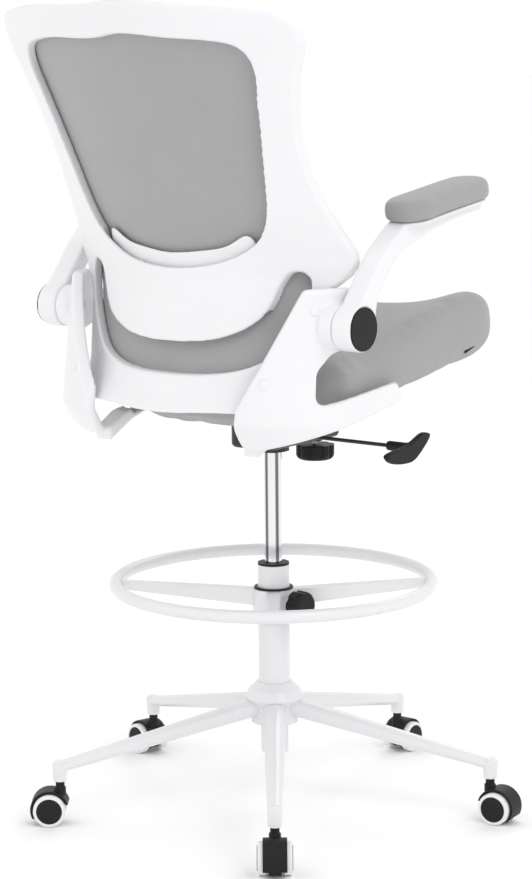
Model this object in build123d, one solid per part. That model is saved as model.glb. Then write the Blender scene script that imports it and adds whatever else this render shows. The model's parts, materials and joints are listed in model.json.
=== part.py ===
from build123d import *
import os
from math import cos, hypot, radians, sin

os.makedirs("parts", exist_ok=True)

# Drafting chair, millimetres. Origin on the floor under the gas column, +Z up.
# The sitter faces -Y, so the back is at +Y and the sitter's right arm is at -X.

# Star base
leg_count = 5
first_leg_angle = 127.0
caster_circle_radius = 350.0
hub_radius = 36.5
hub_bottom_z = 132.0
hub_flange_radius = 46.0
hub_top_z = 197.0
leg_root_centre_z = 158.0
leg_root_width = 37.0
leg_root_height = 31.0
leg_tip_centre_z = 90.0
leg_tip_width = 22.0
leg_tip_height = 18.0
socket_bottom_z = 68.0
socket_top_z = 99.0
socket_radius = 11.5
socket_bottom_radius = 10.3

# Casters
wheel_radius = 25.0
wheel_width = 14.5
wheel_gap = 12.0
tread_thickness = 5.0
caster_trail = 16.0
caster_stem_radius = 5.45
caster_angles = [127.0, 187.0, 268.0, 346.0, 37.0]
running_gap = 0.05

# Column and gas spring
column_radius = 25.0
column_wall = 2.0
column_foot_radius = 21.5
column_foot_z = 84.0
column_top_z = 385.0
cylinder_radius = 14.0
cylinder_bottom_z = 245.0
cylinder_taper_z = 578.0
cylinder_top_z = 604.0
piston_rod_radius = 5.0

# Foot ring
ring_radius = 248.0
ring_tube_radius = 10.0
ring_z = 357.0
collar_radius = 33.0
collar_bottom_z = 297.0
collar_top_z = 347.0
sleeve_radius = 28.0
spoke_count = 4
first_spoke_angle = 37.0
clamp_angle = 172.0
clamp_z = 327.0

# Tilt mechanism
housing_half_width = 42.0
housing_front_y = -129.0
housing_back_y = 60.0
housing_bottom_z = 575.0
housing_top_z = 610.0
tilt_pivot_y = -75.0
tilt_pivot_z = 618.0
tilt_pin_radius = 6.0
tension_y = -112.0
lever_y = -20.0
lever_z = 590.0

# Seat: built flat, then laid back by the seat angle
seat_angle = 8.0
seat_base_z = 676.0
seat_half_width = 245.0
seat_front = -298.0
seat_thickness = 68.0
seat_top_rise = 1.5
seat_drop = 13.0  # how far the underside hangs down behind the board's fixings
seat_drop_start = 158.0

# Back: a doubly curved shell, its rear face at y = spine(z) - wrap(z) * x^2
spine_points = [
    (630, 303), (665, 288), (718, 262), (765, 256), (873, 246), (950, 273), (1060, 321), (1180, 376), (1275, 417),
]
wrap_low = 0.00165
wrap_high = 0.00134
frame_thickness = 20.0
band_thickness = 8.0
mesh_thickness = 1.6
mesh_gap = 0.6
lumbar_gap = 3.5

# Side brackets and armrests
bracket_side_x = 262.0
bracket_corner_radius = 140.0
bracket_wall = 18.0
bracket_low_z = 590.0
bracket_bend_z = 655.0
bracket_high_z = 860.0
bracket_view_angle = 37.2
arm_pivot_y = 174.7
arm_pivot_z = 794.0
arm_hub_radius = 33.8
arm_pin_radius = 8.0
arm_inner_x = 262.4
arm_outer_x = 298.8
pad_centre_x = 288.0
pad_half_width = 38.0
pad_rear_y = 77.0
pad_front_y = -139.0
pad_base_z = 947.0
pad_angle = 7.5


def save(shape, name):
    export_step(shape, f"parts/{name}.step")


def polar(radius, angle, z=0.0):
    return (radius * cos(radians(angle)), radius * sin(radians(angle)), z)


def rod(radius, low, high, x=0.0, y=0.0):
    return Pos(x, y, (low + high) / 2) * Cylinder(radius, high - low)


def tube(outer, inner, low, high, x=0.0, y=0.0):
    return rod(outer, low, high, x, y) - rod(inner, low - 1, high + 1, x, y)


def cross_rod(radius, low, high, y, z):
    # a round bar along X
    return Pos((low + high) / 2, y, z) * Rot(0, 90, 0) * Cylinder(radius, abs(high - low))


def turned(profile):
    # profile is a list of (radius, z) corners, turned about the Z axis
    outline = Polyline(*[(r, 0, z) for r, z in profile], close=True)
    return revolve(make_face(outline), Axis.Z, 360)


def mirrored(shape):
    return mirror(shape, about=Plane.YZ)


# ---- star base ----

def base_hub(column):
    body = turned([
        (0, hub_bottom_z),
        (hub_radius, hub_bottom_z),
        (hub_radius, 160),
        (hub_flange_radius, 171),
        (hub_flange_radius, 174),
        (40, 186),
        (28, hub_top_z),
        (0, hub_top_z),
    ])
    return body - column


def base_leg(angle, hub_solid):
    root = Plane(origin=(30, 0, leg_root_centre_z), x_dir=(0, 1, 0), z_dir=(1, 0, 0))
    tip = Plane(origin=(caster_circle_radius, 0, leg_tip_centre_z), x_dir=(0, 1, 0), z_dir=(1, 0, 0))
    sections = Sketch() + [
        root * Ellipse(leg_root_width / 2, leg_root_height / 2),
        tip * Ellipse(leg_tip_width / 2, leg_tip_height / 2),
    ]
    leg = loft(sections)
    socket = Pos(caster_circle_radius, 0, 0) * turned([
        (0, socket_bottom_z),
        (socket_bottom_radius, socket_bottom_z),
        (socket_radius, 86),
        (socket_radius, socket_top_z - 3),
        (socket_radius - 3, socket_top_z),
        (0, socket_top_z),
    ])
    bore = rod(caster_stem_radius + running_gap, socket_bottom_z - 1, 94.5, caster_circle_radius)
    leg = leg + socket - bore
    return Rot(0, 0, angle) * leg - hub_solid


def column_tube():
    shell = turned([
        (column_foot_radius - 2, column_foot_z),
        (column_foot_radius, column_foot_z),
        (column_foot_radius, 128),
        (column_radius, 150),
        (column_radius, column_top_z),
        (column_radius - column_wall, column_top_z),
        (column_radius - column_wall, 152),
        (column_foot_radius - 2, 130),
    ])
    floor = tube(column_foot_radius - 2, piston_rod_radius + running_gap, 91, 96)
    return shell + floor


def column_solid():
    return turned([
        (0, column_foot_z),
        (column_foot_radius, column_foot_z),
        (column_foot_radius, 128),
        (column_radius, 150),
        (column_radius, column_top_z),
        (0, column_top_z),
    ])


def guide_bush():
    body = tube(column_radius - column_wall, cylinder_radius + running_gap, 305, column_top_z)
    flange = tube(24.6, cylinder_radius + running_gap, column_top_z, column_top_z + 3.5)
    return body + flange


def write_base():
    column = column_solid()
    hub = base_hub(column)
    hub_filled = hub + column
    save(hub, "base_hub")
    for k in range(leg_count):
        save(base_leg(first_leg_angle + 72 * k, hub_filled), f"base_leg_{k + 1}")
    save(column_tube(), "column_tube")
    save(guide_bush(), "column_guide_bush")
    save(tube(14, piston_rod_radius + running_gap, 96, 102), "thrust_bearing")


# ---- casters: built with the stem on the Z axis, the wheels trailing towards +X ----

def caster_hood():
    axle_z = wheel_radius
    outer = 30.0
    inner = 26.4
    drop = 28.0
    half = 18.0
    ring = Cylinder(outer, 2 * half) - Cylinder(inner, 2 * half + 2)
    shell = Pos(caster_trail, 0, axle_z) * Rot(90, 0, 0) * ring
    cut_low = Pos(caster_trail + 40, 0, axle_z - outer * sin(radians(drop)) - 30) * Box(80, 60, 60)
    cut_back = Pos(caster_trail - 40, 0, axle_z - 22) * Box(80, 60, 60)
    shell = shell - cut_low - cut_back
    web = Pos(caster_trail, 0, axle_z) * Rot(90, 0, 0) * Cylinder(inner + 1, 19)
    web = web - Pos(caster_trail, 0, -27) * Box(90, 60, 60) - cut_back
    neck = rod(9.0, 46, 58) + rod(7.0, 56, socket_bottom_z - 0.6)
    body = shell + web + neck
    body = body - Pos(caster_trail, 0, axle_z) * Rot(90, 0, 0) * Cylinder(4.0, 40)
    return body - rod(caster_stem_radius, 50, 80)


def caster_stem():
    return rod(caster_stem_radius, 50.5, 93.5)


def caster_axle():
    axle = Cylinder(3.95, 2 * (wheel_gap + wheel_width) - 6)
    return Pos(caster_trail, 0, wheel_radius) * Rot(90, 0, 0) * axle


def caster_wheel(side, part):
    middle = side * (wheel_gap + wheel_width / 2)
    core_radius = wheel_radius - tread_thickness
    place = Pos(caster_trail, middle, wheel_radius) * Rot(90, 0, 0)
    if part == "tread":
        ring = Cylinder(wheel_radius, wheel_width - 2) - Cylinder(core_radius, wheel_width)
        ring = fillet(ring.edges().filter_by(GeomType.CIRCLE).group_by(SortBy.RADIUS)[-1], 2.2)
        return place * ring
    core = Cylinder(core_radius, wheel_width)
    outward = Axis((0, 0, 0), (0, 0, -side))
    core = chamfer(core.edges().sort_by(outward)[-1], 1.6)
    return place * (core - Pos(0, 0, side * 3) * Cylinder(4.0, wheel_width))


def write_casters():
    fork = Compound([caster_hood(), caster_stem(), caster_axle()])
    hubs = Compound([caster_wheel(1, "core"), caster_wheel(-1, "core")])
    treads = Compound([caster_wheel(1, "tread"), caster_wheel(-1, "tread")])
    for k in range(leg_count):
        place = Pos(*polar(caster_circle_radius, first_leg_angle + 72 * k)) * Rot(0, 0, caster_angles[k])
        save(place * fork, f"caster_fork_{k + 1}")
        save(place * hubs, f"caster_wheel_hubs_{k + 1}")
        save(place * treads, f"caster_wheel_treads_{k + 1}")


# ---- gas spring ----

def gas_cylinder():
    body = turned([
        (0, cylinder_bottom_z),
        (cylinder_radius, cylinder_bottom_z),
        (cylinder_radius, cylinder_taper_z),
        (12.5, cylinder_top_z),
        (0, cylinder_top_z),
    ])
    chamber = rod(12.5, cylinder_bottom_z + 16, cylinder_taper_z - 8)
    guide = rod(piston_rod_radius + running_gap, cylinder_bottom_z - 1, cylinder_bottom_z + 17)
    valve = rod(4.05, cylinder_taper_z - 9, cylinder_top_z + 1)
    return body - chamber - guide - valve


def piston_rod():
    rod_body = rod(piston_rod_radius, 85, 372)
    head = rod(12.45, 358, 370)
    return rod_body + head


def write_gas_spring():
    save(piston_rod(), "piston_rod")
    save(tube(9, piston_rod_radius, 87.5, 90.5), "piston_rod_clip")
    save(gas_cylinder(), "gas_cylinder")
    save(rod(4.0, cylinder_taper_z, cylinder_top_z + 4.5), "gas_release_pin")


# ---- foot ring ----

def foot_ring_spoke(angle):
    inner = collar_radius - 3
    outer = ring_radius
    side_view = Polyline((inner, 321), (outer, 349), (outer, 361), (inner, collar_top_z), close=True)
    plan_view = Polyline((inner, -11), (outer, -8), (outer, 8), (inner, 11), close=True)
    side_prism = extrude(Plane.XZ * make_face(side_view), 40, both=True)
    plan_prism_up = extrude(make_face(plan_view), 500)
    return Rot(0, 0, angle) * (side_prism & plan_prism_up)


def write_foot_ring():
    ring = Pos(0, 0, ring_z) * Torus(ring_radius, ring_tube_radius)
    collar = tube(collar_radius, sleeve_radius + running_gap, collar_bottom_z, collar_top_z)
    collar_filled = rod(collar_radius, collar_bottom_z, collar_top_z)
    aim = Rot(0, 0, clamp_angle) * Pos(0, 0, clamp_z) * Rot(0, 90, 0)
    boss = aim * Pos(0, 0, 36) * Cylinder(9, 14) - rod(sleeve_radius + 1, 290, 360)
    thread = aim * Pos(0, 0, 40) * Cylinder(4.05, 40)
    save((collar + boss) - thread, "foot_ring_collar")
    save(ring, "foot_ring_hoop")
    spokes = [foot_ring_spoke(first_spoke_angle + 90 * k) - ring - collar_filled for k in range(spoke_count)]
    for k, spoke in enumerate(spokes):
        save(spoke, f"foot_ring_spoke_{k + 1}")
    sleeve = tube(sleeve_radius, column_radius + running_gap, collar_bottom_z + 2, collar_top_z + 3)
    flange = tube(30.5, column_radius + running_gap, collar_top_z + 0.2, collar_top_z + 3)
    save(sleeve + flange, "foot_ring_sleeve")
    screw = aim * Pos(0, 0, (sleeve_radius + 0.4 + 60) / 2) * Cylinder(4.0, 60 - sleeve_radius - 0.4)
    save(screw, "clamp_screw")
    knob = Pos(0, 0, 60) * Cylinder(23, 24)
    knob = fillet(knob.faces().sort_by(Axis.Z)[-1].edges(), 7)
    for k in range(6):
        knob = knob - Rot(0, 0, 60 * k) * Pos(27.5, 0, 60) * Cylinder(7, 30)
    save(aim * knob - screw, "clamp_knob")


# ---- tilt mechanism ----

def mechanism_housing():
    middle_y = (housing_front_y + housing_back_y) / 2
    length = housing_back_y - housing_front_y
    height = housing_top_z - housing_bottom_z
    body = Pos(0, middle_y, housing_bottom_z + height / 2) * Box(2 * housing_half_width, length, height)
    body = fillet(body.edges().filter_by(Axis.Z), 16)
    body = fillet(body.faces().sort_by(Axis.Z)[0].edges(), 7)
    cavity = Box(2 * housing_half_width - 8, length - 8, height)
    cavity = Pos(0, middle_y, housing_bottom_z + 4 + height / 2) * cavity
    body = body - fillet(cavity.edges().filter_by(Axis.Z), 12)
    for side in (-1, 1):
        ear = Pos(side * (housing_half_width - 3), tilt_pivot_y, 604) * Box(6, 30, 28)
        inner_x = side * (housing_half_width - 6)
        outer_x = side * housing_half_width
        eye = cross_rod(15, inner_x, outer_x, tilt_pivot_y, tilt_pivot_z)
        body = body + ear + eye
    taper = turned([(0, 560), (26, 566), (24, 604), (0, 604)])
    body = body + taper
    body = body + rod(12, 566, 579, 0, tension_y)
    bore = [(0, 560), (cylinder_radius, 560), (cylinder_radius, cylinder_taper_z), (12.5, 604), (0, 604)]
    socket = turned(bore)
    body = body - socket
    body = body - rod(5.05, 560, 600, 0, tension_y)
    body = body - cross_rod(tilt_pin_radius, -51, 51, tilt_pivot_y, tilt_pivot_z)
    window = Pos(-housing_half_width, lever_y, lever_z) * Box(14, 13, 16)
    return body - window


def lever_rod():
    # the inner end is cranked so that it lies over the release pin
    bar = cross_rod(3.0, -222, -31, lever_y, lever_z)
    post = Pos(-33, lever_y, 600) * Box(6, 6, 26)
    finger = Pos(-16, -11, 611) * Box(40, 24, 4)
    return bar + post + finger


def tension_spring():
    coil = 9.0
    wire = 2.0
    path = Helix(pitch=6.0, height=21.0, radius=coil)
    section = Plane(origin=path @ 0, z_dir=path % 0) * Circle(wire)
    return Pos(0, tension_y, 582) * sweep(section, path=path)


def tension_knob():
    knob = rod(31, 536, 560, 0, tension_y)
    knob = fillet(knob.faces().sort_by(Axis.Z)[0].edges(), 10)
    for k in range(10):
        x, y, z = polar(34.5, 36 * k)
        knob = knob - rod(6.5, 530, 565, x, y + tension_y)
    return knob - rod(5.0, 545, 565, 0, tension_y)


def lever_paddle():
    # a crescent blade that stands across the end of the rod
    outline = Spline(
        (43, 583), (36, 576), (18, 570), (-2, 568), (-24, 569), (-41, 577), (-56, 588), (-67, 598),
        (-70, 604), (-63, 608), (-42, 605), (-20, 597), (2, 593), (30, 590),
        periodic=True,
    )
    blade = Pos(-244, 0, 0) * extrude(Plane.YZ * make_face(outline), 5, both=True)
    grip = cross_rod(7.5, -241, -205, lever_y, lever_z)
    return blade + grip - cross_rod(3.0, -222, -40, lever_y, lever_z)


def write_mechanism():
    save(mechanism_housing(), "mechanism_housing")
    save(cross_rod(tilt_pin_radius, -51, 51, tilt_pivot_y, tilt_pivot_z), "tilt_pivot_pin")
    save(tension_spring(), "tension_spring")
    bolt = rod(5.0, 545, 608, 0, tension_y)
    save(bolt, "tension_bolt")
    save(tension_knob(), "tension_knob")
    save(lever_rod(), "height_lever_rod")
    save(lever_paddle(), "height_lever_handle")


# ---- seat, in its own flat frame, then laid back ----

def seat_place(shape):
    return Pos(0, 0, seat_base_z) * Rot(-seat_angle, 0, 0) * shape


def seat_outline(inset):
    half = seat_half_width - inset
    front = seat_front + inset
    rear_side = 132 - inset
    rear_middle = 222 - inset
    lines = [
        Line((half, rear_side), (half, front + 60)),
        RadiusArc((half, front + 60), (half - 60, front), 60),
        ThreePointArc((half - 60, front), (0, front - 5), (60 - half, front)),
        RadiusArc((60 - half, front), (-half, front + 60), 60),
        Line((-half, front + 60), (-half, rear_side)),
        ThreePointArc((-half, rear_side), (0, rear_middle), (half, rear_side)),
    ]
    return make_face(lines)


def seat_board():
    return extrude(seat_outline(18), 12)


def seat_cushion():
    cover = Pos(0, 0, seat_thickness) * Rot(-seat_top_rise, 0, 0) * Pos(0, 0, -100) * Box(700, 900, 200)
    pad = extrude(seat_outline(0), 130) & cover
    pad = fillet(pad.faces().sort_by(Axis.Z)[-1].edges(), 26)
    pad = fillet(pad.faces().sort_by(Axis.Z)[0].edges(), 12)
    rear_half = Pos(0, seat_drop_start + 100, 0) * Box(600, 200, 100)
    drop = extrude(seat_outline(10), -seat_drop) & rear_half
    return pad + drop - seat_board()


def tilt_plate():
    plate = Pos(0, 10, -2) * Box(230, 250, 4)
    plate = seat_place(fillet(plate.edges().filter_by(Axis.Z), 12))
    for side in (-1, 1):
        cheek = Pos(side * 46, tilt_pivot_y, 653) * Box(5, 50, 68)
        eye = cross_rod(17, side * 43.5, side * 48.5, tilt_pivot_y, tilt_pivot_z)
        plate = plate + cheek + eye
    above = seat_place(Pos(0, 0, 100) * Box(400, 700, 200))
    return plate - above - cross_rod(tilt_pin_radius + running_gap, -70, 70, tilt_pivot_y, tilt_pivot_z)


def seat_screws():
    screws = []
    for x in (-90, 90):
        for y in (-80, 100):
            shank = rod(3, -4, 9, x, y)
            head = rod(6, -7, -4, x, y)
            screws.append(seat_place(shank + head))
    for side in (-1, 1):
        for y in (90, 132):
            shank = rod(3, -5, 9, side * 180, y)
            head = rod(6, -8, -5, side * 180, y)
            screws.append(seat_place(shank + head))
    return screws


def write_seat():
    screws = seat_screws()
    save(seat_place(seat_cushion()), "seat_cushion")
    save(seat_place(seat_board()) - screws, "seat_board")
    save(tilt_plate() - screws, "seat_tilt_plate")
    save(Compound(screws), "seat_screws")


# ---- back ----

def wrap(z):
    share = min(max((z - 780) / 430, 0), 1)
    return wrap_low + (wrap_high - wrap_low) * share


def back_surface(depth):
    # the rear face of the back, moved forward by a depth
    spine = Spline(*[(0, y, z) for z, y in spine_points])
    rows = []
    for i in range(25):
        middle = spine @ (i / 24)
        row = []
        for j in range(17):
            x = -304 + 38 * j
            row.append((x, middle.Y - depth - wrap(middle.Z) * x**2, middle.Z))
        rows.append(row)
    return Face.make_surface_from_array_of_points(rows, tol=0.05)


def shell(front, rear):
    # the slab between two depths in front of the rear face
    return extrude(back_surface(rear), front - rear, dir=(0, -1, 0))


def both_sides(points):
    # half an outline from the top middle to the bottom middle, closed by its mirror image
    back = [(-x, z) for x, z in reversed(points) if x > 0.01]
    return points + back


def plan_prism(outline_face):
    # an outline drawn on the XZ plane, run through the whole depth
    return extrude(Plane.XZ * outline_face, 700, both=True)


def smooth_face(points):
    return make_face(Spline(*both_sides(points), periodic=True))


def frame_outline(inset):
    edge = [
        (0, 1260), (120, 1257), (225, 1248), (262, 1234), (271, 1208), (262, 1180), (244, 1125), (234, 1080),
        (231, 1040), (234, 1000), (243, 955), (254, 915), (259, 890), (250, 866), (226, 842), (210, 800),
        (206, 750), (202, 705), (180, 676), (120, 667), (0, 663),
    ]
    moved = []
    for x, z in edge:
        reach = hypot(x, z - 960)
        moved.append((max(x * (1 - inset / reach), 0), 960 + (z - 960) * (1 - inset / reach)))
    return smooth_face(moved)


def upper_opening():
    return smooth_face([
        (0, 1212), (100, 1209), (170, 1203), (197, 1192), (205, 1172), (200, 1130), (189, 1070), (178, 1010),
        (168, 960), (150, 922), (118, 897), (70, 880), (0, 873),
    ])


def lower_opening():
    return smooth_face([
        (0, 765), (70, 769), (115, 783), (146, 806), (160, 832), (172, 860), (186, 871), (201, 866), (206, 846),
        (196, 805), (176, 772), (154, 745), (125, 730), (80, 721), (0, 718),
    ])


def band_relief():
    # thins the cross band from the front so that the lumbar plate can pass
    outline = make_face(Polyline((-150, 1000), (150, 1000), (150, 700), (-150, 700), close=True))
    return plan_prism(outline)


def back_frame():
    slab = shell(frame_thickness, 0)
    frame = slab & plan_prism(frame_outline(0))
    frame = frame - plan_prism(upper_opening()) - plan_prism(lower_opening())
    pocket = shell(frame_thickness + 5, band_thickness) & band_relief()
    keep = Pos(0, 300, 693) * Box(800, 800, 100)
    return frame - (pocket - keep)


def back_mesh():
    front = frame_thickness + mesh_gap
    return shell(front + mesh_thickness, front) & plan_prism(frame_outline(12))


def lumbar_plate():
    edge = [
        (0, 894), (60, 900), (105, 913), (130, 922), (136, 912), (130, 870), (118, 838), (80, 826), (0, 822),
    ]
    outline = smooth_face(edge)
    return shell(band_thickness + lumbar_gap + 3, band_thickness + lumbar_gap) & plan_prism(outline)


def write_back():
    save(back_frame(), "back_frame")
    save(back_mesh(), "back_mesh")
    save(lumbar_plate(), "lumbar_plate")


# ---- brackets: a wall that runs along the side and wraps round behind the frame ----

def bracket_section(z, wall, centre_y):
    centre_x = bracket_side_x - bracket_corner_radius
    end_angle = 84
    outer_r = bracket_corner_radius
    inner_r = outer_r - wall

    def on_arc(radius, angle):
        return (centre_x + radius * cos(radians(angle)), centre_y + radius * sin(radians(angle)), z)

    outer = ThreePointArc(on_arc(outer_r, 0), on_arc(outer_r, end_angle / 2), on_arc(outer_r, end_angle))
    inner = ThreePointArc(on_arc(inner_r, 0), on_arc(inner_r, end_angle / 2), on_arc(inner_r, end_angle))
    front_out = (bracket_side_x, 10, z)
    front_in = (bracket_side_x - wall, 10, z)
    edges = [
        Line(front_out, outer @ 0),
        outer,
        Line(outer @ 1, inner @ 1),
        inner,
        Line(inner @ 0, front_in),
        Line(front_in, front_out),
    ]
    return make_face(edges)


def bracket_outline():
    # u runs along a level line turned by the view angle from the side, v is the height
    corners = [
        (46, 849, 8), (118, 849, 14), (129, 812, 10), (124, 766, 6), (86, 755, 12), (64, 730, 20),
        (62, 679, 12), (186, 698, 7), (194, 668, 4), (-38, 609, 20), (-57, 640, 12), (-54, 674, 20),
    ]
    face = make_face(Polyline(*[(u, v) for u, v, soft in corners], close=True))
    for u, v, soft in corners:
        nearest = face.vertices().sort_by_distance((u, v, 0))[0]
        face = fillet(nearest, soft)
    return face


def bracket_foot():
    # a bar that runs forward from the wrap's lowest point to the seat's underside
    side_view = Polyline((238, 601), (185, 627), (110, 648), (110, 656), (200, 642), (238, 622), close=True)
    return Pos(-142, 0, 0) * extrude(Plane.YZ * make_face(side_view), 15, both=True)


def right_bracket():
    # the wrap bends forward under the back frame, towards the foot that holds the seat
    places = [(bracket_low_z, 100), (bracket_bend_z, 140), (bracket_high_z, 110)]
    wall = mirrored(loft([bracket_section(z, bracket_wall, y) for z, y in places], ruled=True))
    turn = radians(bracket_view_angle)
    plane = Plane(origin=(0, 0, 0), x_dir=(-cos(turn), -sin(turn), 0), z_dir=(-sin(turn), cos(turn), 0))
    outline = bracket_outline()
    wall = wall & extrude(plane * outline, 600, both=True)
    boss = cross_rod(arm_hub_radius - 0.8, -bracket_side_x, -238, arm_pivot_y, arm_pivot_z)
    flange = seat_place(Pos(-200, 111, -2.5) * Box(92, 82, 5))
    body = wall + boss + flange + bracket_foot() - back_frame()
    body = body - seat_screws() - seat_place(seat_cushion()) - seat_place(seat_board())
    return body - cross_rod(arm_pin_radius, -300, -230, arm_pivot_y, arm_pivot_z)


def write_brackets():
    right = right_bracket()
    save(right, "bracket_right")
    save(mirrored(right), "bracket_left")


# ---- armrests ----

def arm_beam():
    # the arm rises forward from its hub and levels out under the pad
    front = Spline(
        (arm_pivot_y - 33, 800), (138, 832), (113, 868), (92, 888), (44, 908), (-30, 928), (-138, 944),
    )
    rear = Spline(
        (-138, 966), (-30, 950), (69, 936), (91, 921), (128, 892), (152, 864), (177, 834), (arm_pivot_y + 28, 806),
    )
    sides = [
        front,
        Line(front @ 1, rear @ 0),
        rear,
        Line(rear @ 1, front @ 0),
    ]
    profile = make_face(sides)
    width = arm_outer_x - arm_inner_x - 1.0
    beam = extrude(Plane.YZ * profile, width / 2, both=True)
    return Pos(-(arm_outer_x + arm_inner_x) / 2, 0, 0) * beam


def arm_body():
    hub = cross_rod(arm_hub_radius, -arm_outer_x, -arm_inner_x, arm_pivot_y, arm_pivot_z)
    plate = pad_place(extrude(pad_outline(5), -5))
    above = pad_place(Pos(0, 0, 100) * Box(200, 600, 200))
    body = (arm_beam() - above) + hub + plate
    body = body - cross_rod(arm_pin_radius + running_gap, -310, -250, arm_pivot_y, arm_pivot_z)
    return body - cross_rod(31.5, -arm_outer_x - 1, -arm_outer_x + 6, arm_pivot_y, arm_pivot_z)


def pad_outline(inset):
    half = pad_half_width - inset
    rear = pad_rear_y - inset
    front = pad_front_y + inset
    length = rear - front
    return Pos(0, (rear + front) / 2) * RectangleRounded(2 * half, length, half - 2)


def pad_place(shape):
    return Pos(-pad_centre_x, 0, pad_base_z) * Rot(-pad_angle, 0, 0) * shape


def arm_pad():
    pad = extrude(pad_outline(0), 32)
    pad = fillet(pad.faces().sort_by(Axis.Z)[-1].edges(), 13)
    pad = fillet(pad.faces().sort_by(Axis.Z)[0].edges(), 6)
    return pad_place(pad)


def arm_cap():
    cap = cross_rod(31.4, -arm_outer_x - 0.8, -arm_outer_x + 4, arm_pivot_y, arm_pivot_z)
    return cap


def write_armrests():
    pieces = {
        "armrest_arm": arm_body(),
        "armrest_pad": arm_pad(),
        "armrest_cap": arm_cap(),
    }
    for name, shape in pieces.items():
        save(shape, f"{name}_right")
        save(mirrored(shape), f"{name}_left")
    pin = cross_rod(arm_pin_radius, -293, -239, arm_pivot_y, arm_pivot_z)
    save(Compound([pin, mirrored(pin)]), "armrest_pivot_pins")


write_base()
write_casters()
write_gas_spring()
write_foot_ring()
write_mechanism()
write_seat()
write_back()
write_brackets()
write_armrests()
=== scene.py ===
import bpy
import bmesh
import json
import math
from mathutils import Matrix, Vector


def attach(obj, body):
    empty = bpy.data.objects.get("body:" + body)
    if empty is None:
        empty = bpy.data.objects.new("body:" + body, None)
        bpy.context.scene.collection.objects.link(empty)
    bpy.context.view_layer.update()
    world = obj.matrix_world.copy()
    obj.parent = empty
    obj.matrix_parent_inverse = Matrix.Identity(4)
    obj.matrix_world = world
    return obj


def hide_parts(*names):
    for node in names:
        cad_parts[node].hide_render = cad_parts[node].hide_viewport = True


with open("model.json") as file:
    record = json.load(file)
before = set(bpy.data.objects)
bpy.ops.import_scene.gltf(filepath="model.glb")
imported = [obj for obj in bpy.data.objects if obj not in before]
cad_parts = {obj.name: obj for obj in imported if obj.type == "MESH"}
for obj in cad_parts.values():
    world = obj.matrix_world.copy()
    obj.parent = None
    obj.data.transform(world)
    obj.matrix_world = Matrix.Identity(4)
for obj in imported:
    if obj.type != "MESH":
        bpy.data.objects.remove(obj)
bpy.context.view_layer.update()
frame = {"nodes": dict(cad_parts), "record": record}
nodes = frame["nodes"]

cameraSettings = {
    "distance": 4.2076,  # metres from the column
    "height": 1.2832,
    "azimuth": 217.2,   # degrees round from the front of the chair
    "pitch": 9.453,
    "roll": -0.493,
    "yaw": -0.137,
    "lens": 112.28,
}


def placeCamera(settings):
    turn = math.radians(settings["azimuth"] - 180)
    pitch, roll, yaw = (math.radians(settings[key]) for key in ("pitch", "roll", "yaw"))

    def toChair(v):
        # from the viewer's own axes to the chair's
        across = -v.x * math.cos(turn) + v.y * math.sin(turn)
        along = -v.x * math.sin(turn) - v.y * math.cos(turn)
        return Vector((across, along, v.z))

    forward = Vector((math.sin(yaw) * math.cos(pitch), math.cos(yaw) * math.cos(pitch), -math.sin(pitch)))
    right = Vector((math.cos(yaw), -math.sin(yaw), 0))
    up = right.cross(forward)
    level = right
    right = level * math.cos(roll) + up * math.sin(roll)
    up = up * math.cos(roll) - level * math.sin(roll)
    camera = bpy.data.objects.new("studioCamera", bpy.data.cameras.new("studioCamera"))
    bpy.context.scene.collection.objects.link(camera)
    axes = [toChair(right), toChair(up), -toChair(forward)]
    stand = Matrix.Translation(toChair(Vector((0, -settings["distance"], settings["height"]))))
    camera.matrix_world = stand @ Matrix(axes).transposed().to_4x4()
    camera.data.lens = settings["lens"]
    camera.data.sensor_width = 36
    camera.data.dof.use_dof = False
    bpy.context.scene.camera = camera


placeCamera(cameraSettings)
print("camera placed")

studio = {
    "worldStrength": 1.02,
    "floorColour": (0.985, 0.985, 0.985, 1),
    "keyPower": 26,
    "fillPower": 6,
    "rimPower": 12,
}


def areaLight(name, place, aim, size, power):
    light = bpy.data.lights.new(name, "AREA")
    light.shape = "DISK"
    light.size = size
    light.energy = power
    lamp = bpy.data.objects.new(name, light)
    lamp.location = place
    lamp.rotation_euler = (Vector(aim) - Vector(place)).to_track_quat("-Z", "Y").to_euler()
    bpy.context.scene.collection.objects.link(lamp)


def buildStudio(settings):
    bpy.context.scene.view_settings.view_transform = "Standard"
    world = bpy.data.worlds.new("softStudio")
    bpy.context.scene.world = world
    world.use_nodes = True
    world.node_tree.nodes["Background"].inputs["Color"].default_value = (1, 1, 1, 1)
    world.node_tree.nodes["Background"].inputs["Strength"].default_value = settings["worldStrength"]
    areaLight("keyLight", (-3.2, 1.2, 3.4), (0, 0.1, 0.8), 1.8, settings["keyPower"])
    areaLight("fillLight", (2.6, 3.2, 2.0), (0, 0.1, 0.7), 2.4, settings["fillPower"])
    areaLight("rimLight", (0.8, -3.0, 2.8), (0, 0, 0.9), 1.6, settings["rimPower"])


class Sock:
    # wraps an output socket so that maths on it builds nodes
    def __init__(self, build, socket):
        self.build, self.socket = build, socket

    def maths(self, operation, other, swap=False):
        pair = (other, self) if swap else (self, other)
        return self.build.node("ShaderNodeMath", {"operation": operation}, pair)

    def __add__(self, other): return self.maths("ADD", other)
    def __radd__(self, other): return self.maths("ADD", other, True)
    def __sub__(self, other): return self.maths("SUBTRACT", other)
    def __rsub__(self, other): return self.maths("SUBTRACT", other, True)
    def __mul__(self, other): return self.maths("MULTIPLY", other)
    def __rmul__(self, other): return self.maths("MULTIPLY", other, True)
    def __truediv__(self, other): return self.maths("DIVIDE", other)
    def __pow__(self, other): return self.maths("POWER", other)


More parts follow.
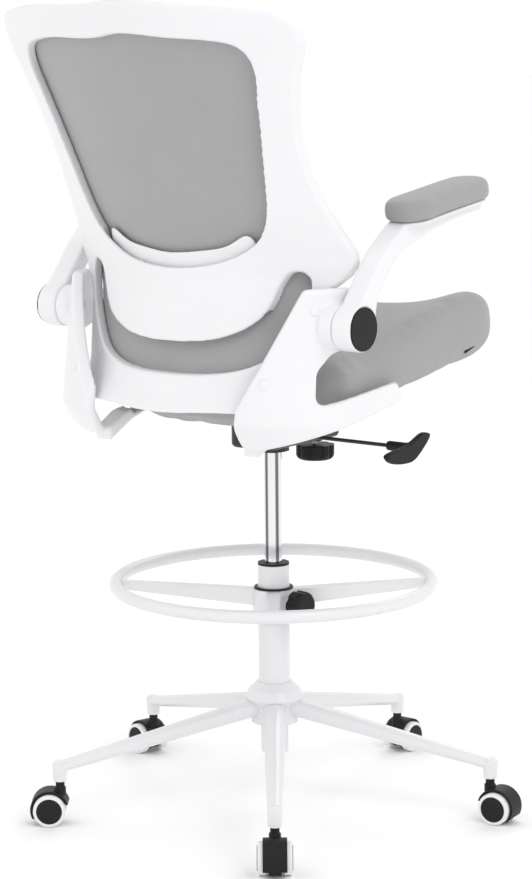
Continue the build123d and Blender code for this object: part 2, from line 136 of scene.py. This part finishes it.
class Finish:
    # one material, its shader and the node maker
    def __init__(self, name, **uniform):
        self.material = bpy.data.materials.new(name)
        self.material.use_nodes = True
        self.tree = self.material.node_tree
        self.shader = self.tree.nodes["Principled BSDF"]
        for socket, value in uniform.items():
            self.shader.inputs[socket].default_value = value

    def node(self, kind, settings, values, output=0):
        made = self.tree.nodes.new(kind)
        for key, value in settings.items():
            if key == "stops":
                ramp = made.color_ramp.elements
                for i, (place, colour) in enumerate(value):
                    stop = ramp[i] if i < 2 else ramp.new(place)
                    stop.position, stop.color = place, colour
            else:
                setattr(made, key, value)
        pairs = values.items() if isinstance(values, dict) else enumerate(values)
        for key, value in pairs:
            if isinstance(value, Sock):
                self.tree.links.new(value.socket, made.inputs[key])
            else:
                made.inputs[key].default_value = value
        return Sock(self, made.outputs[output])

    def place(self):
        return self.node("ShaderNodeTexCoord", {}, {}, "Object")

    def noise(self, where, scale, detail=3.0, roughness=0.5):
        values = {"Vector": where, "Scale": scale, "Detail": detail, "Roughness": roughness}
        return self.node("ShaderNodeTexNoise", {}, values)

    def axes(self, where):
        return [self.node("ShaderNodeSeparateXYZ", {}, [where], k) for k in range(3)]

    def mixColours(self, share, first, second):
        return self.node("ShaderNodeMix", {"data_type": "RGBA"}, {0: share, 6: first, 7: second}, 2)

    def feed(self, socket, value):
        self.tree.links.new(value.socket, self.shader.inputs[socket])

    def bump(self, height, strength, distance):
        values = {"Strength": strength, "Distance": distance, "Height": height}
        self.feed("Normal", self.node("ShaderNodeBump", {}, values))


plasticSettings = {
    "white": (0.835, 0.838, 0.85, 1),
    "whiteShade": (0.805, 0.808, 0.82, 1),
    "enamel": (0.785, 0.787, 0.80, 1),
    "enamelShade": (0.755, 0.757, 0.77, 1),
    "black": (0.009, 0.009, 0.0095, 1),
    "blackShade": (0.016, 0.016, 0.017, 1),
    "whiteGrain": 1400.0,
    "enamelGrain": 900.0,
    "blackGrain": 1100.0,
}


def paintedFinish(name, colour, shade, roughness, grain, depth, coat, gloss):
    # a moulded or powder-coated skin: faint cloudiness, fine orange peel and a soft change of gloss
    finish = Finish(name, **{"Coat Weight": coat, "Coat Roughness": 0.25, "Specular IOR Level": gloss})
    where = finish.place()
    cloud = finish.noise(where, 9.0, 2.0)
    peel = finish.noise(where, grain, 2.0, 0.6)
    finish.feed("Base Color", finish.mixColours(cloud, colour, shade))
    finish.feed("Roughness", roughness - 0.06 + cloud * 0.12)
    finish.bump(peel, 0.35, depth)
    return finish.material


metalSettings = {
    "chrome": (0.82, 0.82, 0.84, 1),
    "chromePaintedReflection": (0.16, 0.16, 0.17, 1),
    "paintedReflectionBands": 5,         # painted reflection: dark bands painted round the gas cylinder
    "steel": (0.62, 0.62, 0.64, 1),
    "steelDark": (0.56, 0.56, 0.58, 1),
}


def drawingLines(finish, where, scale):
    stretched = finish.node("ShaderNodeVectorMath", {"operation": "MULTIPLY"}, {0: where, 1: (1.0, 1.0, 0.02)})
    return finish.noise(stretched, scale, 2.0)


def chromeFinish(settings):
    # polished plate with painted reflection: dark bands painted into the base colour by angle round the part's
    # axis stand in for the room's reflection, and run the length of the part
    finish = Finish("hardChrome", **{"Metallic": 1.0})
    where = finish.place()
    x, y, z = finish.axes(where)
    angle = finish.node("ShaderNodeMath", {"operation": "ARCTAN2"}, [x, y])
    wave = finish.node("ShaderNodeMath", {"operation": "SINE"}, [angle * settings["paintedReflectionBands"] + 0.9])
    stops = [(0.62, (0, 0, 0, 1)), (0.9, (1, 1, 1, 1))]
    share = finish.node("ShaderNodeValToRGB", {"stops": stops}, [wave * 0.5 + 0.5])
    lines = drawingLines(finish, where, 200.0)
    # painted reflection: the base colour turns dark in bands round the axis
    finish.feed("Base Color", finish.mixColours(share, settings["chrome"], settings["chromePaintedReflection"]))
    finish.feed("Roughness", 0.07 + lines * 0.05)
    finish.bump(lines, 0.06, 0.0002)
    return finish.material


def steelFinish(settings):
    # drawn steel with fine lines along it
    finish = Finish("brightSteel", **{"Metallic": 1.0})
    lines = drawingLines(finish, finish.place(), 480.0)
    finish.feed("Base Color", finish.mixColours(lines, settings["steel"], settings["steelDark"]))
    finish.feed("Roughness", 0.25 + lines * 0.08)
    finish.bump(lines, 0.1, 0.0002)
    return finish.material


fabricSettings = {
    "seatColour": (0.40, 0.40, 0.405, 1),
    "seatDark": (0.29, 0.29, 0.295, 1),
    "seatYarn": 0.0011,      # metres from one yarn to the next
    "meshColour": (0.46, 0.46, 0.47, 1),
    "meshDark": (0.30, 0.302, 0.308, 1),
    "meshYarn": 0.0021,
}


def weave(finish, where, pitch):
    # two crossed sets of yarns, each a row of rounded ridges
    turns = 2 * math.pi / pitch
    x, y, z = finish.axes(where)
    across = (x + y * 0.35) * turns
    along = (z + y * 0.8) * turns
    warp = finish.node("ShaderNodeMath", {"operation": "SINE"}, [across])
    weft = finish.node("ShaderNodeMath", {"operation": "SINE"}, [along])
    return warp * weft * 0.5 + 0.5


def fabricFinish(name, settings, use):
    colour, dark, pitch = (settings[use + key] for key in ("Colour", "Dark", "Yarn"))
    finish = Finish(name, **{"Sheen Weight": 0.25, "Sheen Roughness": 0.5})
    where = finish.place()
    yarns = weave(finish, where, pitch)
    slub = finish.noise(where, 260.0, 3.0, 0.6)
    cloud = finish.noise(where, 11.0, 2.0)
    finish.feed("Base Color", finish.mixColours(yarns * 0.45 + slub * 0.35 + cloud * 0.2, dark, colour))
    finish.feed("Roughness", 0.82 + slub * 0.15)
    finish.bump(yarns + slub * 0.6, 0.5, pitch * 0.35)
    return finish.material


def woodFinish(name):
    finish = Finish(name)
    where = finish.place()
    stretched = finish.node("ShaderNodeVectorMath", {"operation": "MULTIPLY"}, {0: where, 1: (40.0, 3.0, 40.0)})
    grain = finish.noise(stretched, 4.0, 5.0, 0.6)
    finish.feed("Base Color", finish.mixColours(grain, (0.48, 0.33, 0.18, 1), (0.28, 0.17, 0.08, 1)))
    finish.feed("Roughness", 0.6 + grain * 0.2)
    finish.bump(grain, 0.2, 0.0004)
    return finish.material


def plasticFinish(name, tone, settings, roughness, depth, coat=0.0, gloss=0.5):
    grain = settings[tone + "Grain"]
    return paintedFinish(name, settings[tone], settings[tone + "Shade"], roughness, grain, depth, coat, gloss)


finishes = {
    "white_plastic": plasticFinish("whitePlastic", "white", plasticSettings, 0.34, 0.00012, 0.2),
    "white_steel": plasticFinish("whitePowderCoat", "enamel", plasticSettings, 0.3, 0.0002, 0.35),
    "black_plastic": plasticFinish("blackPlastic", "black", plasticSettings, 0.46, 0.0003, gloss=0.2),
    "black_steel": plasticFinish("blackEnamel", "black", plasticSettings, 0.38, 0.0002),
    "white_tread": plasticFinish("whiteTread", "white", plasticSettings, 0.5, 0.0002),
    "chrome": chromeFinish(metalSettings),
    "bright_steel": steelFinish(metalSettings),
    "grey_fabric": fabricFinish("greyFabric", fabricSettings, "seat"),
    "grey_mesh": fabricFinish("greyMesh", fabricSettings, "mesh"),
    "plywood": woodFinish("plywood"),
}
slotOf = {part["node"]: part["material_slot"] for part in frame["record"]["subparts"]}
bodies = frame["record"]["behaviour"]["bodies"]
bodyOf = {node: body for body, members in bodies.items() for node in members}


def wear(piece, slot):
    piece.data.materials.clear()
    piece.data.materials.append(finishes[slot])


for name, node in nodes.items():
    wear(node, slotOf[name])
print("finishes made")
buildStudio(studio)

def buildFloor(settings):
    mesh = bpy.data.meshes.new("studioFloor")
    shape = bmesh.new()
    bmesh.ops.create_grid(shape, x_segments=2, y_segments=2, size=30)
    shape.to_mesh(mesh)
    floor = bpy.data.objects.new("studioFloor", mesh)
    bpy.context.scene.collection.objects.link(floor)
    floor.location.z = -0.0005
    finish = Finish("paleFloor", **{"Roughness": 0.85})
    cloud = finish.noise(finish.place(), 3.0, 2.0)
    colour = settings["floorColour"]
    finish.feed("Base Color", finish.mixColours(cloud, colour, tuple(c * 0.99 for c in colour[:3]) + (1,)))
    mesh.materials.append(finish.material)


buildFloor(studio)

def newPiece(name, mesh, node):
    piece = bpy.data.objects.new(name, mesh)
    bpy.context.scene.collection.objects.link(piece)
    wear(piece, slotOf[node])
    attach(piece, bodyOf[node])
    return piece


def applyAll(piece):
    graph = bpy.context.evaluated_depsgraph_get()
    graph.update()
    made = bpy.data.meshes.new_from_object(piece.evaluated_get(graph), depsgraph=graph)
    old = piece.data
    piece.modifiers.clear()
    piece.data = made
    bpy.data.meshes.remove(old)


def smoothShade(piece):
    for face in piece.data.polygons:
        face.use_smooth = True


def moulded(node, name, voxel, rounds):
    # the CAD shape with every edge softened, as a moulding has them
    piece = newPiece(name, nodes[node].data.copy(), node)
    remesh = piece.modifiers.new("remesh", "REMESH")
    remesh.mode = "VOXEL"
    remesh.voxel_size = voxel
    smooth = piece.modifiers.new("smooth", "SMOOTH")
    smooth.factor = 0.5
    smooth.iterations = rounds
    applyAll(piece)
    smoothShade(piece)
    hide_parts(node)
    return piece


moulding = {
    "voxel": 0.0024,
    "frameRounds": 14,
    "bracketRounds": 16,
    "armRounds": 12,
}
moulded("back_frame", "backFrameMoulding", moulding["voxel"], moulding["frameRounds"])
brackets = {}
for side in ("right", "left"):
    name = "bracketMoulding." + side
    brackets[side] = moulded("bracket_" + side, name, moulding["voxel"], moulding["bracketRounds"])
    moulded("armrest_arm_" + side, "armMoulding." + side, moulding["voxel"], moulding["armRounds"])
moulded("lumbar_plate", "lumbarMoulding", 0.0012, 3)
moulded("height_lever_handle", "leverPaddle", 0.0012, 8)
moulded("tension_knob", "tensionKnobMoulding", 0.0009, 4)
moulded("clamp_knob", "clampKnobMoulding", 0.0009, 5)
for k in range(5):
    moulded("caster_fork_%d" % (k + 1), "casterHood.%d" % (k + 1), 0.0008, 3)
print("mouldings made")

screwPlugs = {
    "places": [(0.181, 0.714), (0.232, 0.818)],  # out from the middle, and up
    "radius": 0.0078,
    "height": 0.0014,
}


def turnedDome(name, radius, height, node, place, facing):
    # a low round button, turned about its own axis and set on a surface
    shape = bmesh.new()
    profile = [(1, -1), (1, 0.3), (0.93, 0.8), (0.5, 1), (0, 1)]
    points = [shape.verts.new((across * radius, 0, up * height)) for across, up in profile]
    edges = [shape.edges.new(pair) for pair in zip(points, points[1:])]
    bmesh.ops.spin(shape, geom=points + edges, axis=(0, 0, 1), cent=(0, 0, 0), steps=40, angle=2 * math.pi)
    bmesh.ops.remove_doubles(shape, verts=shape.verts, dist=radius * 0.001)
    bottom = [edge for edge in shape.edges if edge.is_boundary]
    bmesh.ops.contextual_create(shape, geom=bottom)
    bmesh.ops.recalc_face_normals(shape, faces=shape.faces)
    turn = facing.to_track_quat("Z", "Y").to_matrix().to_4x4()
    shape.transform(Matrix.Translation(place) @ turn)
    mesh = bpy.data.meshes.new(name)
    shape.to_mesh(mesh)
    piece = newPiece(name, mesh, node)
    smoothShade(piece)
    return piece


def buildPlugs(settings):
    # covers over the screws that hold each bracket, seen from behind
    for side, sign in (("right", -1), ("left", 1)):
        for k, (out, up) in enumerate(settings["places"]):
            hit, place, facing, face = brackets[side].ray_cast((sign * out, 0.6, up), (0, -1, 0))
            name = "screwPlug.%s.%d" % (side, k + 1)
            turnedDome(name, settings["radius"], settings["height"], "bracket_" + side, place, facing)


buildPlugs(screwPlugs)
print("screw plugs made")

cushionSettings = {
    "voxel": 0.006,
    "pressure": 4.0,
    "swellLimit": 0.010,
}


def swell(piece, settings):
    # cloth under a little pressure, with no point moving further than the limit
    start = [v.co.copy() for v in piece.data.vertices]
    cloth = piece.modifiers.new("cloth", "CLOTH")
    cloth.settings.use_pressure = True
    cloth.settings.uniform_pressure_force = settings["pressure"]
    cloth.settings.effector_weights.gravity = 0
    for step in range(1, 21):
        bpy.context.scene.frame_set(step)
    applyAll(piece)
    for vertex, was in zip(piece.data.vertices, start):
        move = vertex.co - was
        if move.length > settings["swellLimit"]:
            vertex.co = was + move.normalized() * settings["swellLimit"]
    bpy.context.scene.frame_set(1)


def remeshed(piece, voxel, rounds=2):
    remesh = piece.modifiers.new("remesh", "REMESH")
    remesh.mode = "VOXEL"
    remesh.voxel_size = voxel
    smooth = piece.modifiers.new("smooth", "SMOOTH")
    smooth.factor = 0.5
    smooth.iterations = rounds
    applyAll(piece)


def relax(piece, rounds):
    smooth = piece.modifiers.new("smooth", "SMOOTH")
    smooth.factor = 0.5
    smooth.iterations = rounds
    applyAll(piece)


def subdivide(piece):
    more = piece.modifiers.new("more", "SUBSURF")
    more.levels = more.render_levels = 1
    applyAll(piece)
    smoothShade(piece)


seatShape = {
    "angle": 8.0,           # the seat lies back by this much
    "baseHeight": 0.676,
    "thickness": 0.068,
    "halfWidth": 0.245,
    "bolster": 0.036,       # how much the sides rise towards the front
    "dish": 0.008,
    "frontRoll": 0.020,     # how far the middle of the front edge rolls down
    "noseDrop": 0.020,      # the front is rounded off, top and bottom
    "noseLift": 0.020,
    "noseReach": 0.016,
}


def gentle(value, low, high):
    share = min(max((value - low) / (high - low), 0), 1)
    return share * share * (3 - 2 * share)


def shapeSeat(piece, settings):
    # sides swell up towards the front, the middle is dished and its front edge rolls down
    tilt = Matrix.Rotation(-math.radians(settings["angle"]), 4, "X")
    lay = Matrix.Translation((0, 0, settings["baseHeight"])) @ tilt
    flat = lay.inverted()
    for vertex in piece.data.vertices:
        co = flat @ vertex.co
        share = min(max(co.z / settings["thickness"], 0), 1)
        side = min(abs(co.x) / settings["halfWidth"], 1)
        forward = gentle(-co.y, -0.04, 0.19)
        lift = settings["bolster"] * side ** 3 * forward
        sink = settings["dish"] * (1 - side * side) * gentle(-co.y, -0.18, 0.0)
        roll = settings["frontRoll"] * gentle(-co.y, 0.19, 0.29) * (1 - side ** 4)
        nose = gentle(-co.y, 0.225, 0.30)
        co.z += share * (lift - sink - roll - settings["noseDrop"] * nose)
        co.z += (1 - share) * settings["noseLift"] * nose
        co.y -= settings["noseReach"] * gentle(-co.y, 0.15, 0.29)
        vertex.co = lay @ co


def seatCushion():
    # foam and board are upholstered as one, so the cover runs down round the board's edge
    shape = bmesh.new()
    shape.from_mesh(nodes["seat_cushion"].data)
    shape.from_mesh(nodes["seat_board"].data)
    mesh = bpy.data.meshes.new("seatPad")
    shape.to_mesh(mesh)
    piece = newPiece("seatPad", mesh, "seat_cushion")
    remeshed(piece, cushionSettings["voxel"], 20)
    swell(piece, cushionSettings)
    relax(piece, 10)
    shapeSeat(piece, seatShape)
    subdivide(piece)
    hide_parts("seat_cushion", "seat_board")
    return piece


def armPad(side):
    node = "armrest_pad_" + side
    piece = newPiece("armPad." + side, nodes[node].data.copy(), node)
    remeshed(piece, 0.004, 4)
    swell(piece, {**cushionSettings, "swellLimit": 0.005})
    relax(piece, 6)
    subdivide(piece)
    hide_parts(node)


seatPad = seatCushion()
for side in ("right", "left"):
    armPad(side)
print("cushions made")

# painted shade: size and place of the dark block in the seat's side slot
slotShadeBlock = {
    "length": 0.030,
    "width": 0.0042,
    "thickness": 0.0016,
    "behind": -0.205,       # along the seat
    "height": 0.719,
    "slope": 16.0,
}


def buildSlotShadeBlock(settings):
    # painted shade: a dark block set low on the seat's side near the front corner, standing in for the shade
    # inside the slot there
    start = Vector((-0.40, settings["behind"], settings["height"]))
    hit, place, facing, face = seatPad.ray_cast(start, (1, 0, 0))
    shape = bmesh.new()
    bmesh.ops.create_cube(shape, size=1)
    size = (settings["thickness"], settings["length"], settings["width"])
    bmesh.ops.scale(shape, vec=size, verts=shape.verts)
    bmesh.ops.bevel(shape, geom=shape.edges[:], offset=settings["thickness"] * 0.45, segments=3, affect="EDGES")
    shape.transform(Matrix.Translation(place) @ Matrix.Rotation(-math.radians(settings["slope"]), 4, "X"))
    mesh = bpy.data.meshes.new("paintedSlotShade")
    shape.to_mesh(mesh)
    piece = newPiece("paintedSlotShade", mesh, "seat_cushion")
    piece.data.materials.clear()
    piece.data.materials.append(finishes["black_plastic"])
    smoothShade(piece)


buildSlotShadeBlock(slotShadeBlock)

def backMesh():
    piece = newPiece("backMeshSheet", nodes["back_mesh"].data.copy(), "back_mesh")
    smoothShade(piece)
    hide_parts("back_mesh")


backMesh()
print("back mesh made")
